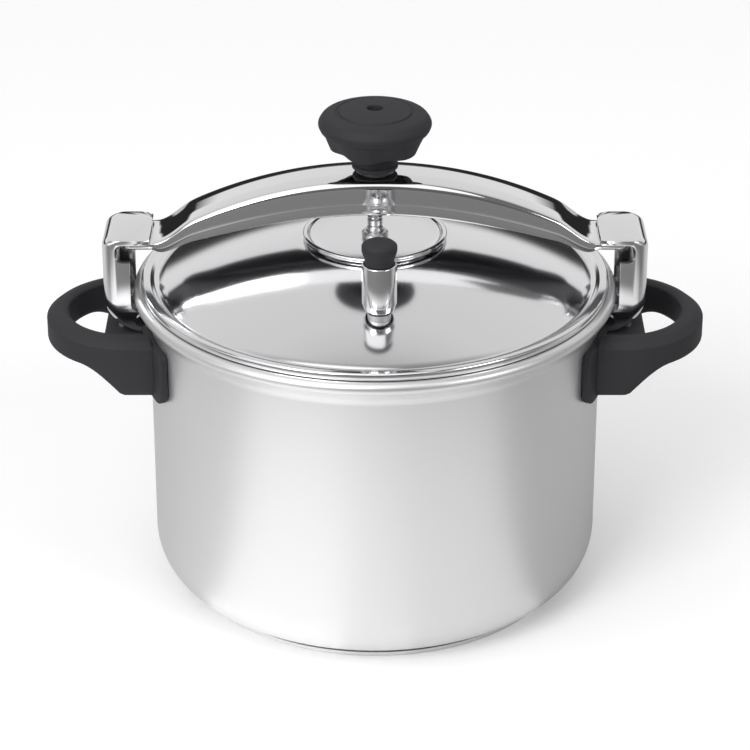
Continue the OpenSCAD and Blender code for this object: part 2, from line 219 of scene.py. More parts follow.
def turn(steps, angle, centre):
    """Spins the selection anticlockwise, seen from above; the operator itself turns clockwise."""
    bpy.ops.mesh.spin(steps=steps, angle=-angle, center=centre, axis=(0, 0, 1))


def lathe(name, outline, centre=(0, 0), closed=True, steps=None):
    """Spins a half outline of (radius, height) points, in metres, round a vertical axis."""
    x, y = centre
    piece = chain(name, [(x + r, y, z) for r, z in outline], closed)
    turn(steps or sizes().steps, math.tau, (x, y, 0))
    tidy_mesh()
    return piece


def apply_modifier(piece, kind, **values):
    """Adds a modifier and applies it."""
    leave_edit_mode()
    modifier = piece.modifiers.new(kind.title(), kind)
    for key, value in values.items():
        setattr(modifier, key, value)
    bpy.context.view_layer.objects.active = piece
    bpy.ops.object.modifier_apply(modifier=modifier.name)


def cut(piece, tool, operation="DIFFERENCE"):
    """Booleans a tool into a piece, and removes the tool."""
    leave_edit_mode()
    apply_modifier(piece, "BOOLEAN", object=tool, operation=operation, solver="EXACT")
    bpy.data.objects.remove(tool)


def mirrored(piece, name):
    """A copy of a right-hand piece, mirrored to the left."""
    leave_edit_mode()
    bpy.ops.object.select_all(action="DESELECT")
    piece.select_set(True)
    bpy.context.view_layer.objects.active = piece
    bpy.ops.object.duplicate()
    copy = bpy.context.object
    copy.name = copy.data.name = name
    bpy.ops.object.mode_set(mode="EDIT")
    bpy.ops.mesh.select_all(action="SELECT")
    bpy.ops.transform.resize(value=(-1, 1, 1), center_override=(0, 0, 0))
    bpy.ops.mesh.normals_make_consistent(inside=False)
    bpy.ops.object.mode_set(mode="OBJECT")
    return copy


def finish_piece(piece, body, slot, *nodes, angle=35):
    """Smooths a piece, gives it its finish and lets it stand for its frame nodes."""
    leave_edit_mode()
    bpy.ops.object.select_all(action="DESELECT")
    piece.select_set(True)
    bpy.context.view_layer.objects.active = piece
    bpy.ops.object.shade_smooth_by_angle(angle=math.radians(angle))
    piece.data.materials.clear()
    piece.data.materials.append(finish(slot))
    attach(piece, body)
    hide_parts(*nodes)


def sizes():
    """Settings of the shapes."""
    return bpy.context.scene.cooker_sizes


def finishes():
    """Settings of the colours."""
    return bpy.context.scene.cooker_finishes


def studio():
    """Settings of the camera and lights."""
    return bpy.context.scene.cooker_studio


# ---------------------------------------------------------------- materials

def node_group(name, inputs, outputs):
    """A shader group with named sockets: inputs {name: default}, outputs {name: socket type}."""
    group = bpy.data.node_groups.new(name, "ShaderNodeTree")
    for label, default in inputs.items():
        kind = "NodeSocketVector" if default is None else "NodeSocketFloat"
        socket = group.interface.new_socket(label, in_out="INPUT", socket_type=kind)
        if default is not None:
            socket.default_value = default
    for label, kind in outputs.items():
        group.interface.new_socket(label, in_out="OUTPUT", socket_type=kind)
    return group, group.nodes.new("NodeGroupInput"), group.nodes.new("NodeGroupOutput")


def add(tree, kind, **values):
    """Adds a node and sets its properties."""
    item = tree.nodes.new(kind)
    for key, value in values.items():
        setattr(item, key, value)
    return item


def math_node(tree, operation, a, b=None):
    """A Math node fed by sockets or numbers."""
    item = add(tree, "ShaderNodeMath", operation=operation)
    for socket, value in zip(item.inputs, (a, b)):
        if value is None:
            continue
        if isinstance(value, (int, float)):
            socket.default_value = value
        else:
            tree.links.new(value, socket)
    return item.outputs[0]


def noise(tree, vector, scale, detail=3.0, roughness=0.5):
    """A noise texture's factor."""
    item = add(tree, "ShaderNodeTexNoise")
    item.inputs["Scale"].default_value = scale
    item.inputs["Detail"].default_value = detail
    item.inputs["Roughness"].default_value = roughness
    tree.links.new(vector, item.inputs["Vector"])
    return item.outputs["Fac"]


def ring_grain_group():
    """Fine lines that run round an upright axis, as turning and rotary brushing leave them."""
    name = "ring_grain"
    if name in bpy.data.node_groups:
        return bpy.data.node_groups[name]
    group, given, out = node_group(
        name, {"Position": None, "Lines per metre": 900.0, "Streak": 6.0},
        {"Lines": "NodeSocketFloat", "Patches": "NodeSocketFloat"})
    parts = add(group, "ShaderNodeSeparateXYZ")
    group.links.new(given.outputs["Position"], parts.inputs[0])
    radius = math_node(group, "SQRT", math_node(
        group, "ADD", math_node(group, "MULTIPLY", parts.outputs[0], parts.outputs[0]),
        math_node(group, "MULTIPLY", parts.outputs[1], parts.outputs[1])))
    around = math_node(group, "ARCTAN2", parts.outputs[1], parts.outputs[0])
    along = math_node(group, "SUBTRACT", parts.outputs[2], radius)
    grain = add(group, "ShaderNodeCombineXYZ")
    group.links.new(math_node(group, "MULTIPLY", along, given.outputs["Lines per metre"]), grain.inputs[0])
    group.links.new(math_node(group, "MULTIPLY", around, given.outputs["Streak"]), grain.inputs[1])
    group.links.new(noise(group, grain.outputs[0], 1.0, 4.0, 0.6), out.inputs["Lines"])
    group.links.new(noise(group, given.outputs["Position"], 22.0, 2.0), out.inputs["Patches"])
    return group


def speckle_group():
    """Fine moulded texture with slow patches of wear and handling."""
    name = "speckle"
    if name in bpy.data.node_groups:
        return bpy.data.node_groups[name]
    group, given, out = node_group(
        name, {"Position": None, "Grain per metre": 1800.0, "Patch per metre": 40.0},
        {"Grain": "NodeSocketFloat", "Patches": "NodeSocketFloat"})
    for label, source, detail in (("Grain", "Grain per metre", 2.0), ("Patches", "Patch per metre", 4.0)):
        item = add(group, "ShaderNodeTexNoise")
        item.inputs["Detail"].default_value = detail
        group.links.new(given.outputs["Position"], item.inputs["Vector"])
        group.links.new(given.outputs[source], item.inputs["Scale"])
        group.links.new(item.outputs["Fac"], out.inputs[label])
    return group


def span(tree, value, low_value, high_value, start=0.3, end=0.7):
    """Maps a mask from start..end to low_value..high_value."""
    item = add(tree, "ShaderNodeMapRange")
    tree.links.new(value, item.inputs["Value"])
    for label, number in (("From Min", start), ("From Max", end),
                          ("To Min", low_value), ("To Max", high_value)):
        item.inputs[label].default_value = number
    return item.outputs["Result"]


def mix(tree, factor, a, b):
    """Mixes two colours, each a socket or four numbers, by a mask."""
    item = add(tree, "ShaderNodeMix", data_type="RGBA")
    for label, value in (("Factor", factor), ("A", a), ("B", b)):
        if isinstance(value, tuple):
            item.inputs[label].default_value = value
        else:
            tree.links.new(value, item.inputs[label])
    return item.outputs["Result"]


def shades(tree, value, dark, light):
    """Mixes two plain colours by a mask."""
    return mix(tree, value, (*dark, 1), (*light, 1))


def bump(tree, height, distance):
    """A bump normal from a height mask."""
    item = add(tree, "ShaderNodeBump")
    item.inputs["Distance"].default_value = distance
    tree.links.new(height, item.inputs["Height"])
    return item.outputs["Normal"]


def blank(name):
    """A new material with its tree, its shader and the object's own coordinates."""
    material = bpy.data.materials.new(name)
    material.use_nodes = True
    tree = material.node_tree
    shader = tree.nodes["Principled BSDF"]
    position = add(tree, "ShaderNodeTexCoord").outputs["Object"]
    return material, tree, shader, position


def placed(tree, group, position, values, centre=(0, 0, 0)):
    """A group in a material, centred on a point, with its values set."""
    shift = add(tree, "ShaderNodeMapping")
    shift.inputs["Location"].default_value = [-c for c in centre]
    tree.links.new(position, shift.inputs["Vector"])
    item = add(tree, "ShaderNodeGroup", node_tree=group)
    tree.links.new(shift.outputs["Vector"], item.inputs["Position"])
    for label, value in values.items():
        item.inputs[label].default_value = value
    return item


def scaled(colour_value, factor):
    """A colour made lighter or darker, never past white."""
    return tuple(min(1.0, c * factor) for c in colour_value)


def metal(name, base, lines, streak, rough, depth, variation=0.05, centre=(0, 0, 0)):
    """Bare metal with a grain of lines round an axis; rough is (least, most)."""
    material, tree, shader, position = blank(name)
    grain = placed(tree, ring_grain_group(), position, {"Lines per metre": lines, "Streak": streak}, centre)
    shader.inputs["Metallic"].default_value = 1
    tint = shades(tree, grain.outputs["Patches"],
                  scaled(base, 1 - variation), scaled(base, 1 + variation / 3))
    tree.links.new(tint, shader.inputs["Base Color"])
    mixed = math_node(tree, "MULTIPLY_ADD", grain.outputs["Lines"], 0.7)
    tree.links.new(grain.outputs["Patches"], mixed.node.inputs[2])
    tree.links.new(span(tree, mixed, rough[0], rough[1], 0.6, 1.1), shader.inputs["Roughness"])
    tree.links.new(bump(tree, grain.outputs["Lines"], depth), shader.inputs["Normal"])
    return material


def satin_steel():
    """Pot wall: rotary satin with fine level lines."""
    return metal("satin_steel", finishes().steel, 1400.0, 3.0, (0.17, 0.27), 0.005 * MM, 0.04)


def polished_steel():
    """Lid, bridge and hooks: mirror polish with faint polishing haze."""
    return metal("polished_steel", finishes().steel, 500.0, 2.0, (0.035, 0.075), 0.0006 * MM, 0.02)


def pressed_steel():
    """Bridge: polished outside; on the faces inside its channel, a dull roughness and a dark grey base colour
    that paints the shade under the bridge.
    """
    material = polished_steel()
    material.name = "polished_steel_bridge"
    tree = material.node_tree
    shader = tree.nodes["Principled BSDF"]
    place = add(tree, "ShaderNodeTexCoord")
    across = add(tree, "ShaderNodeSeparateXYZ")
    facing = add(tree, "ShaderNodeSeparateXYZ")
    tree.links.new(place.outputs["Object"], across.inputs[0])
    tree.links.new(place.outputs["Normal"], facing.inputs[0])
    sheet, level = 1.7 * MM, 0.3
    between = math_node(tree, "LESS_THAN", math_node(tree, "ABSOLUTE", across.outputs[1]),
                        high("bridge").y - sheet)
    inside = math_node(tree, "MULTIPLY", between, math_node(tree, "LESS_THAN", facing.outputs[2], level))
    # The dark grey is painted shade inside the channel; the higher roughness is a dull finish.
    painted_shade_grey, dull_roughness = (0.16, 0.16, 0.17, 1), (0.4, 0.4, 0.4, 1)
    for label, dull_and_shaded in (("Base Color", painted_shade_grey), ("Roughness", dull_roughness)):
        outside = shader.inputs[label].links[0].from_socket
        tree.links.new(mix(tree, inside, outside, dull_and_shaded), shader.inputs[label])
    return material


def machined_steel():
    """Screw, valve parts and fasteners: turned on a lathe."""
    return metal("machined_steel", finishes().turned, 2600.0, 1.0, (0.16, 0.30), 0.004 * MM)


def aluminium():
    """Core of the base."""
    return metal("aluminium", (0.75, 0.75, 0.76), 1500.0, 2.0, (0.30, 0.45), 0.006 * MM)


def brass():
    """Safety valve, turned and slightly dull."""
    return metal("brass", finishes().brass, 2200.0, 1.0, (0.18, 0.34), 0.004 * MM, 0.1,
                 (0, low("safety_cap").y, 0))


def moulded(name, base, rough, grain_depth, grain=1800.0):
    """Moulded plastic or rubber: fine grain, slow patches of gloss."""
    material, tree, shader, position = blank(name)
    skin = placed(tree, speckle_group(), position, {"Grain per metre": grain})
    tint = shades(tree, skin.outputs["Patches"], scaled(base, 0.85), scaled(base, 1.25))
    tree.links.new(tint, shader.inputs["Base Color"])
    tree.links.new(span(tree, skin.outputs["Patches"], rough[0], rough[1]), shader.inputs["Roughness"])
    tree.links.new(bump(tree, skin.outputs["Grain"], grain_depth), shader.inputs["Normal"])
    return material


def black_phenolic():
    """Knob, handles and valve cap."""
    material = moulded("black_phenolic", finishes().black, (0.36, 0.46), 0.012 * MM)
    material.node_tree.nodes["Principled BSDF"].inputs["Specular IOR Level"].default_value = 0.1
    return material


def black_rubber():
    """Gasket and washers."""
    return moulded("black_rubber", finishes().rubber, (0.55, 0.72), 0.02 * MM, 2600.0)


FINISHES = {"satin_steel": satin_steel, "polished_steel": polished_steel, "machined_steel": machined_steel,
            "aluminium": aluminium, "brass": brass, "black_phenolic": black_phenolic,
            "black_rubber": black_rubber}


def finish(slot):
    """The material of a record slot.

    The frame's import brings a plain material for each slot, under the slot's own name, and that
    one is returned. FINISHES makes a material only for a slot that the import lacks.
    """
    return bpy.data.materials.get(slot) or FINISHES[slot]()


class COOKER_OT_dress_frame(bpy.types.Operator):
    """Give every frame node the finish of its slot"""

    bl_idname = "cooker.dress_frame"
    bl_label = "Dress the frame"

    def execute(self, context):
        for part in frame["record"]["subparts"]:
            item = frame["nodes"][part["node"]]
            item.data.materials.clear()
            item.data.materials.append(finish(part["material_slot"]))
        return {"FINISHED"}


# ---------------------------------------------------------------- pot

def wall_radius():
    """Outer radius of the pot's wall, in millimetres."""
    return high("pot_body").x / MM - BEAD_REACH


def rim_height():
    """Height of the bead's centre, in millimetres."""
    return high("pot_body").z / MM - sizes().bead / MM


class COOKER_OT_pot(bpy.types.Operator):
    """Spin the pot with its rounded corner and its rolled rim"""

    bl_idname = "cooker.pot"
    bl_label = "Pot"

    def execute(self, context):
        r = wall_radius()
        z = rim_height()
        bead = sizes().bead / MM
        t = sizes().wall / MM
        base = low("pot_body").z / MM
        corner = sizes().corner / MM
        centre = r + BEAD_REACH - bead
        outer = rounded([(0, base, 0), (r, base, corner), (r, z - 9.5, 9),
                         (centre - 0.4, z - bead + 0.02, 0)], 12)
        roll = [Vector((centre + bead * math.cos(a), z + bead * math.sin(a))) * MM
                for a in (math.radians(-85 + 265 * k / 18) for k in range(19))]
        inner = rounded([(centre - bead, z - 0.5, 0), (r - t, z - 9, 9), (r - t, base + t, corner - t),
                         (0, base + t, 0)], 12)
        pot = lathe("pot_shell", outer + roll + inner, closed=False)
        finish_piece(pot, "pot", "satin_steel", "pot_body")
        return {"FINISHED"}


# ---------------------------------------------------------------- lid and pressure dish

def dome_height(radius):
    """Height of the dome's outer face at a radius, both in millimetres."""
    trough_r = wall_radius() - 4
    trough_z = rim_height() + 5
    rise = 25.2
    sphere = (trough_r ** 2 + rise ** 2) / (2 * rise)
    return trough_z + rise - sphere + math.sqrt(sphere ** 2 - radius ** 2)


class COOKER_OT_lid(bpy.types.Operator):
    """Spin the domed lid with its raised rim channel"""

    bl_idname = "cooker.lid"
    bl_label = "Lid"

    def execute(self, context):
        r = wall_radius()
        top = high("lid").z / MM
        rim = rim_height() + 7.6
        foot = rim_height() + 3.8
        t = sizes().sheet / MM
        edge = high("lid").x / MM
        flat = 37
        radii = [41 + (r - 6.5 - 41) * k / 30 for k in range(31)]
        dome = [(a, dome_height(a), 0) for a in radii]
        skin = rounded([(0, top, 0), (flat, top, 3)] + dome
                       + [(r - 4.2, rim - 3.0, 2.6), (r - 0.8, rim, 1.4), (edge, rim, 1.3), (edge, foot, 0.3),
                          (edge - t, foot, 0.3), (edge - t, rim - t, 0.4), (r - 0.3, rim - t, 0.6),
                          (r - 4.0, rim - 3 - t, 2)]
                       + [(a, h - t, 0) for a, h, _ in reversed(dome)] + [(0, top - t, 0)])
        lid = lathe("lid_shell", skin, closed=False)
        finish_piece(lid, "lid", "polished_steel", "lid")
        return {"FINISHED"}


class COOKER_OT_pressure_dish(bpy.types.Operator):
    """Spin the dished plate under the screw, with its rolled edge"""

    bl_idname = "cooker.pressure_dish"
    bl_label = "Pressure dish"

    def execute(self, context):
        r = high("pressure_dish").x / MM
        z = low("pressure_dish").z / MM
        top = high("pressure_dish").z / MM
        t = 0.8
        outline = rounded([(0, z, 0), (r - 5, z, 3), (r - 2.6, top - 2.4, 1), (r, top - 2.4, 0.9),
                           (r, top, 0.9), (r - 2.4, top, 0.9), (r - 3.4, z + t + 0.6, 2), (r - 8, z + t, 6),
                           (0, z + t, 0)])
        dish = lathe("pressure_dish_plate", outline, closed=False)
        finish_piece(dish, "lid", "polished_steel", "pressure_dish")
        return {"FINISHED"}


# ---------------------------------------------------------------- bridge

def bow_height(x):
    """Height of the bridge's shoulder line at distance x from the middle, in millimetres."""
    top = high("bridge").z / MM - 0.4
    tongue = rim_height() + 30.4
    arc_end = wall_radius() - 25
    foot = wall_radius() - 3
    radius = 229.0
    x = abs(x)
    if x <= arc_end:
        return top - radius + math.sqrt(radius ** 2 - x ** 2)
    at_end = top - radius + math.sqrt(radius ** 2 - arc_end ** 2)
    slope = -arc_end / math.sqrt(radius ** 2 - arc_end ** 2) * (foot - arc_end)
    s = min(1.0, (x - arc_end) / (foot - arc_end))
    return ((2 * s ** 3 - 3 * s ** 2 + 1) * at_end + (s ** 3 - 2 * s ** 2 + s) * slope
            + (3 * s ** 2 - 2 * s ** 3) * tongue)


def flange_depth(x):
    """Depth of the bridge's flanges under the shoulder line, in millimetres."""
    least, most = 2.2, 16.5
    end = wall_radius() - 4
    return least + (most - least) * max(0.0, 1 - (abs(x) / end) ** 2.6) ** 0.6


def bridge_half_width(x):
    """Half width of the bridge, in millimetres; the tongues' corners are round."""
    half = high("bridge").y / MM
    corner = 8.0
    over = abs(x) - (high("bridge").x / MM - corner)
    return half if over <= 0 else half - corner + math.sqrt(max(0.2, corner ** 2 - over ** 2))


class COOKER_OT_bridge(bpy.types.Operator):
    """Press the bridge: a crowned channel swept along its bow, with a tongue at each end"""

    bl_idname = "cooker.bridge"
    bl_label = "Bridge"

    def execute(self, context):
        half = high("bridge").y / MM
        tip = high("bridge").x / MM
        crown = sizes().crown / MM
        depth = flange_depth(0)
        right = rounded([(half, -depth, 0), (half - 0.6, -depth + 5, 8), (half - 0.6, crown - 0.9, 4.2),
                         (6, crown, 30), (0, crown, 0)], 8)
        section = right + [Vector((-p.x, p.y)) for p in reversed(right[:-1])]
        stations = [tip * math.sin(math.radians(1.25 * k)) for k in range(-72, 73)]
        x = stations[0]
        piece = chain("bridge_arch", [(x * MM, p.x, bow_height(x) * MM + p.y) for p in section])
        bpy.ops.transform.resize(value=(1, bridge_half_width(x) / half, flange_depth(x) / depth),
                                 center_override=(x * MM, 0, bow_height(x) * MM))
        for here, there in zip(stations, stations[1:]):
            step = ((there - here) * MM, 0, (bow_height(there) - bow_height(here)) * MM)
            bpy.ops.mesh.extrude_region_move(TRANSFORM_OT_translate={"value": step})
            bpy.ops.transform.resize(
                value=(1, bridge_half_width(there) / bridge_half_width(here),
                       flange_depth(there) / flange_depth(here)),
                center_override=(there * MM, 0, bow_height(there) * MM))
        tidy_mesh()
        face_along((0, 0, 1), lambda co: abs(co.x) < 20 * MM and abs(co.y) < 5 * MM)
        apply_modifier(piece, "SOLIDIFY", thickness=1.9 * MM, offset=-1)
        apply_modifier(piece, "BEVEL", width=0.45 * MM, segments=3, limit_method="ANGLE",
                       angle_limit=math.radians(60))
        hole = plug("bridge_hole", 10.05, *OVER_THE_POT, NARROW_STEPS)
        cut(piece, hole)
        finish_piece(piece, "bridge", "polished_steel", "bridge")
        piece.data.materials[0] = pressed_steel()
        return {"FINISHED"}


# ---------------------------------------------------------------- hooks, rivets and handles

class COOKER_OT_hooks(bpy.types.Operator):
    """Draw each hook as a deep cup with round outer corners, then open its mouth and its side"""

    bl_idname = "cooker.hooks"
    bl_label = "Hooks"

    def execute(self, context):
        x_in = low("right_hook").x / MM
        x_out = high("right_hook").x / MM
        half = high("right_hook").y / MM
        z_low = low("right_hook").z / MM + 0.6
        z_top = high("right_hook").z / MM
        fold, heel, brow, steel = 7.0, 18.0, 5.0, 2.3

        def reach(z):
            """Distance of the outer face at a height: a round heel and a round brow."""
            if z < z_low + heel:
                return x_out - heel + math.sqrt(max(0.01, heel ** 2 - (z_low + heel - z) ** 2))
            if z > z_top - brow:
                return x_out - brow + math.sqrt(max(0.01, brow ** 2 - (z - z_top + brow) ** 2))
            return x_out

        section = rounded([(x_in, -half, 0), (x_out, -half, fold), (x_out, half, fold), (x_in, half, 0)], 8)
        heel_steps = [z_low + heel * (1 - math.cos(math.radians(7.5 * k))) for k in range(13)]
        brow_steps = [z_top - brow * (1 - math.sin(math.radians(11.25 * k))) for k in range(9)]
        heights = heel_steps + brow_steps
        piece = chain("right_hook_claw", [(p.x, p.y, heights[0] * MM) for p in section])
        squeeze(x_in, (reach(heights[0]) - x_in) / (x_out - x_in))
        bpy.ops.mesh.edge_face_add()
        for here, there in zip(heights, heights[1:]):
            bpy.ops.mesh.extrude_region_move(TRANSFORM_OT_translate={"value": (0, 0, (there - here) * MM)})
            squeeze(x_in, (reach(there) - x_in) / (reach(here) - x_in))
        tidy_mesh()
        pick(lambda co, normal: normal.x < -0.99 and co.x < (x_in + 0.5) * MM, "FACE")
        bpy.ops.mesh.delete(type="FACE")
        apply_modifier(piece, "SOLIDIFY", thickness=steel * MM, offset=-1)
        mouth = rim_height() + 21
        under = z_top - 2.5
        for name, x0, x1, z0, z1, corner in (
                ("mouth", x_in - 5, x_out - 7, mouth, under, 3.5),
                ("bead_room", x_in - 5, wall_radius() + 8.4, rim_height() - 7, under, 4),
                ("wall_room", x_in - 5, wall_radius() + 0.6, z_low - 2, under, 0.5)):
            cut(piece, bar(name, x0, x1, half + 3, z0, z1, corner))
        bpy.ops.object.mode_set(mode="EDIT")
        pick(lambda a, b: max(a.x, b.x) < (x_in + 0.3) * MM and min(abs(a.y), abs(b.y)) > (half - 0.3) * MM
             and abs(a.z - b.z) > 0.05 * MM and min(a.z, b.z) > (under - 0.1) * MM, "EDGE")
        bpy.ops.mesh.bevel(offset=8.5 * MM, segments=10, affect="EDGES")
        apply_modifier(piece, "BEVEL", width=0.4 * MM, segments=3, limit_method="ANGLE",
                       angle_limit=math.radians(50))
        left = mirrored(piece, "left_hook_claw")
        finish_piece(piece, "pot", "polished_steel", "right_hook")
        finish_piece(left, "pot", "polished_steel", "left_hook")
        return {"FINISHED"}


def squeeze(x, factor):
    """Scales the selection along X about a plane at x millimetres."""
    bpy.ops.transform.resize(value=(factor, 1, 1), center_override=(x * MM, 0, 0))


def bar(name, x0, x1, half, z0, z1, corner):
    """A bar along Y with round edges; millimetres."""
    outline = [(x, z, corner) for x, z in ((x0, z0), (x1, z0), (x1, z1), (x0, z1))]
    return prism(name, rounded(outline), half)


def plug(name, radius, z0, z1, steps=None):
    """An upright cylinder on the axis, for cutting; radius in millimetres, heights in metres."""
    return lathe(name, [Vector((0, z0)), Vector((radius * MM, z0)), Vector((radius * MM, z1)),
                        Vector((0, z1))], closed=False, steps=steps)


def prism(name, outline, half):
    """An outline drawn out along Y to both sides; half its length is in millimetres."""
    piece = chain(name, [(p.x, -half * MM, p.y) for p in outline], closed=True)
    bpy.ops.mesh.edge_face_add()
    bpy.ops.mesh.extrude_region_move(TRANSFORM_OT_translate={"value": (0, 2 * half * MM, 0)})
    tidy_mesh()
    bpy.ops.object.mode_set(mode="OBJECT")
    return piece


def face_along(direction, test):
    """Flips an open surface if the faces that pass a test look away from a direction."""
    mesh = bmesh.from_edit_mesh(bpy.context.object.data)
    mesh.normal_update()
    total = sum(f.normal.dot(Vector(direction)) for f in mesh.faces if test(f.calc_center_median()))
    bpy.ops.mesh.select_all(action="SELECT")
    if total < 0:
        bpy.ops.mesh.flip_normals()


def reshape(rule):
    """Moves every vertex of the piece in edit mode to the place that a rule gives for it."""
    mesh = bmesh.from_edit_mesh(bpy.context.object.data)
    for vertex in mesh.verts:
        vertex.co = rule(vertex.co)
    bmesh.update_edit_mesh(bpy.context.object.data)


class COOKER_OT_handles(bpy.types.Operator):
    """Mould the loop handles: a half-round grip, aprons that deepen to the pot, and a root block"""

    bl_idname = "cooker.handles"
    bl_label = "Handles"

    def execute(self, context):
        grip = high("right_handle").y / MM
        centre = high("right_handle").x / MM - grip
        top = high("right_handle").z / MM
        base = low("right_handle").z / MM
        loop = top - 17
        inner = grip - 12
        section = rounded([
            (grip, loop, 2.2), (grip, top - 4.6, 0.8), (grip - 4, top - 1.3, 5), (inner + 3.5, top + 0.1, 3),
            (inner + 0.3, top - 1.4, 1.8), (inner, loop, 3)], 5)
        piece = chain("right_loop_handle", [(centre * MM, -p.x, p.y) for p in section], closed=True)
        turn(56, math.pi, (centre * MM, 0, 0))
        pick(lambda co: abs(co.x - centre * MM) < 0.05 * MM)
        bpy.ops.mesh.extrude_region_move(TRANSFORM_OT_translate={"value": (-6 * MM, 0, 0)})
        bpy.ops.mesh.extrude_region_move(TRANSFORM_OT_translate={"value": (-12 * MM, 0, 0)})
        for side in (-1, 1):
            pick(lambda co: co.x < (centre - 17.9) * MM and co.y * side > 0)
            bpy.ops.mesh.edge_face_add()
        drop_from, drop_to = centre + 4, centre + 27

        def apron(co):
            """Lowers the loop's underside towards the pot."""
            depth = (loop + 4.5 - co.z / MM) / 4.5
            if depth <= 0:
                return co
            s = min(1.0, max(0.0, (co.x / MM - drop_from) / (drop_to - drop_from)))
            fall = (loop - base) * (1 - math.sin(s * math.pi / 2))
            return Vector((co.x, co.y, co.z - fall * MM * min(1.0, depth)))

        reshape(apron)
        tidy_mesh()
        seat = low("right_hook").z / MM - 0.1
        x_in, x_out = wall_radius() - 4, high("right_hook").x / MM
        block = prism("root_block", rounded([
            (x_in, base + 0.2, 1), (x_out - 9, base + 0.2, 1), (x_out, base + 12, 2), (x_out, seat, 1),
            (x_in, seat, 1)]), grip - 8)
        cut(piece, block, "UNION")
        cut(piece, plug("wall_room", wall_radius() + 4.6, 0, OVER_THE_POT[1]))
        apply_modifier(piece, "BEVEL", width=0.8 * MM, segments=3, limit_method="ANGLE",
                       angle_limit=math.radians(55))
        left = mirrored(piece, "left_loop_handle")
        finish_piece(piece, "pot", "black_phenolic", "right_handle", angle=50)
        finish_piece(left, "pot", "black_phenolic", "left_handle", angle=50)
        return {"FINISHED"}


class COOKER_OT_saddles(bpy.types.Operator):
    """Mould the curved plates between the pot's wall and the handles"""

    bl_idname = "cooker.saddles"
    bl_label = "Saddles"

    def execute(self, context):
        r = wall_radius()
        z0, z1 = low("right_saddle").z / MM, high("right_saddle").z / MM
        reach = high("right_saddle").y / MM
        inner, outer = r + 0.3, r + 4.5
        sweep = 2 * math.asin(reach / outer)
        piece = chain("right_saddle_plate", [(a * MM, 0, z * MM) for a, z in (
            (inner, z0), (outer, z0), (outer, z1), (inner, z1))], closed=True)
        bpy.ops.mesh.edge_face_add()
        reshape(lambda co: Vector((co.x * math.cos(sweep / 2), -co.x * math.sin(sweep / 2), co.z)))
        turn(112, sweep, (0, 0, 0))

        low_corner, top_corner = 8.0, 4.0

        def corners(co):
            """Rounds the plate's ends: wide below, narrow above."""
            from_end = (sweep / 2 - abs(math.atan2(co.y, co.x))) * (inner + outer) / 2
            below = co.z / MM < (z0 + z1) / 2
            corner = low_corner if below else top_corner
            over = max(0.0, corner - from_end)
            inset = corner - math.sqrt(max(0.0, corner ** 2 - over ** 2))
            return Vector((co.x, co.y, co.z + (inset if below else -inset) * MM))

        reshape(corners)
        tidy_mesh()
        apply_modifier(piece, "BEVEL", width=0.9 * MM, segments=3, limit_method="ANGLE",
                       angle_limit=math.radians(50))
        left = mirrored(piece, "left_saddle_plate")
        finish_piece(piece, "pot", "black_phenolic", "right_saddle")
        finish_piece(left, "pot", "black_phenolic", "left_saddle")
        return {"FINISHED"}


# ---------------------------------------------------------------- knob and valve

class COOKER_OT_knob(bpy.types.Operator):
    """Mould the knob: a shallow dome with a ring groove over a lobed skirt"""

    bl_idname = "cooker.knob"
    bl_label = "Knob"

    def execute(self, context):
        r = high("knob").x / MM
        top = high("knob").z / MM + 0.4
        foot = low("knob").z / MM
        groove = r - 9.5
        face = [(a, top - 0.3 - (a / 21) ** 2 * 2.2, 0) for a in (6, 9, 12, 15, groove - 1.2)]
        lip = top - 0.3 - (groove / 21) ** 2 * 2.2
        skirt = rounded(
            [(0, foot + 23, 0), (4.1, foot + 23, 0), (4.1, top - 0.4, 0.8)] + face
            + [(groove - 0.8, lip - 0.55, 0.2), (groove + 0.2, lip - 0.6, 0.2),
               (groove + 0.7, lip - 0.15, 0.2),
               (r - 2.4, top - 4.2, 5), (r + 0.6, top - 8.8, 3.6), (r - 1.2, top - 12.4, 1.2),
               (r - 2.4, top - 12.9, 1.2), (r - 6.2, top - 23.0, 1.8), (r - 9.2, top - 24.2, 1.4),
               (r - 12, top - 17.5, 2), (13.5, top - 15.5, 1.5), (11.1, top - 16.5, 1.2),
               (11.1, foot + 2.6, 0.4), (12.1, foot + 2.0, 0.4), (12.1, foot, 0.5), (6.1, foot, 0.3),
               (6.1, foot + 6, 0), (0, foot + 6, 0)], 6)
        piece = lathe("knob_mushroom", skirt, closed=False)
        lobes = sizes().lobes
        ledge, end = (top - 12.6) * MM, (top - 23.5) * MM

        def lobed(co):
            """Pulls the skirt in between its lobes and lifts its edge there."""
            distance = math.hypot(co.x, co.y)
            if co.z > ledge or distance < 15 * MM:
                return co
            wave = 0.5 - 0.5 * math.cos(lobes * (math.atan2(co.y, co.x) - math.pi))
            share = min(1.0, (ledge - co.z) / (ledge - end)) * wave ** 1.4
            inward = 1 - 0.13 * share
            return Vector((co.x * inward, co.y * inward, co.z + 0.6 * MM * share))

        reshape(lobed)
        finish_piece(piece, "screw", "black_phenolic", "knob", angle=40)
        return {"FINISHED"}


